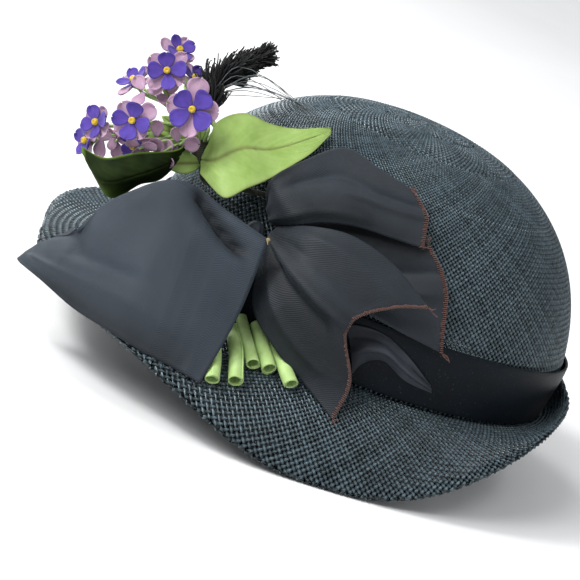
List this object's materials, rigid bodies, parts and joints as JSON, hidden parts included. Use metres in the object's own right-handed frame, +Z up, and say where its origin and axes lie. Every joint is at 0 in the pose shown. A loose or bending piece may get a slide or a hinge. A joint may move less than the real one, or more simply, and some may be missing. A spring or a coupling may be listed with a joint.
{
  "type": "cloche hat",
  "caption": "Woven straw cloche hat with a turned-up back brim, satin band, ribbon bow, cloth violets with leaves and a plume.",
  "frame": {"origin": "middle of the hat's box in plan, at the height that the brim's low sides rest on", "axes": "+Z up along the crown, the front of the hat towards -Y, the trimmed side towards +X"},
  "size_m": [0.2548, 0.2546, 0.1454],
  "materials": {
    "straw": "woven glossy straw",
    "satin": "satin ribbon",
    "ribbon": "fine ribbed ribbon",
    "pale_leaf": "matte cloth",
    "dark_leaf": "matte cloth",
    "wire": "dark wound wire",
    "feather": "curled feather",
    "stem": "rolled cloth",
    "mauve": "matte cloth",
    "violet": "velvety cloth",
    "bead": "painted bead"
  },
  "bodies": {
    "root": {"band_fold": "satin", "bow_knot": "ribbon", "bow_loop": "ribbon", "brim": "straw", "bunch_binding": "wire", "bunch_wires": "wire", "crown": "straw", "cut_stem_1": "stem", "cut_stem_2": "stem", "cut_stem_3": "stem", "cut_stem_4": "stem", "cut_stem_5": "stem", "dark_leaf": "dark_leaf", "hat_band": "satin", "middle_tail": "ribbon", "pale_leaf": "pale_leaf", "plume": "feather", "second_tail": "ribbon", "upper_tail": "ribbon", "violet_1_back_petals": "mauve", "violet_1_bead": "bead", "violet_1_petals": "violet", "violet_1_stem": "stem", "violet_2_back_petals": "mauve", "violet_2_bead": "bead", "violet_2_petals": "violet", "violet_2_stem": "stem", "violet_3_back_petals": "mauve", "violet_3_bead": "bead", "violet_3_petals": "violet", "violet_3_stem": "stem", "violet_4_back_petals": "mauve", "violet_4_bead": "bead", "violet_4_petals": "violet", "violet_4_stem": "stem", "violet_5_back_petals": "mauve", "violet_5_bead": "bead", "violet_5_petals": "violet", "violet_5_stem": "stem", "violet_6_back_petals": "mauve", "violet_6_bead": "bead", "violet_6_petals": "violet", "violet_6_stem": "stem", "violet_7_back_petals": "mauve", "violet_7_bead": "bead", "violet_7_petals": "violet", "violet_7_stem": "stem", "violet_8_back_petals": "mauve", "violet_8_bead": "bead", "violet_8_petals": "violet", "violet_8_stem": "stem", "violet_9_back_petals": "mauve", "violet_9_bead": "bead", "violet_9_petals": "violet", "violet_9_stem": "stem"}
  },
  "joints": []
}
